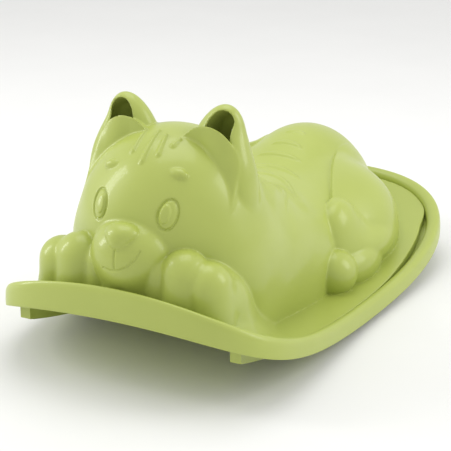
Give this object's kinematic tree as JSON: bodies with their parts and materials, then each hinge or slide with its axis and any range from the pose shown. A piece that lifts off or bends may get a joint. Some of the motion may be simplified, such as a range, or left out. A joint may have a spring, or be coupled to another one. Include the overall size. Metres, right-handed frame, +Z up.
{
  "type": "animal seesaw rocker",
  "caption": "Child's rocking seesaw moulded as a reclining cat on a curved tray, with hollow ears to hold and footrests beside the back, rolling on two arched runners.",
  "frame": {"origin": "on the floor, under the middle of the two runners, halfway between the front and rear lips", "axes": "+Z up; the cat faces -Y and rocks in the YZ plane; its left side is +X"},
  "size_m": [0.4948, 0.78, 0.3666],
  "materials": {
    "shell": "satin moulded polypropylene",
    "tray": "satin moulded polypropylene",
    "runner": "satin moulded polypropylene",
    "brace": "plain moulded polypropylene",
    "grip": "matt thermoplastic rubber",
    "screw": "zinc plated"
  },
  "bodies": {
    "root": {"cat_shell": "shell", "rocker_base": "tray", "runner_left": "runner", "runner_right": "runner", "grip_strip_left": "grip", "grip_strip_right": "grip", "seat_brace": "brace", "shell_screws": "screw", "runner_screws": "screw", "brace_screws": "screw"}
  },
  "joints": []
}
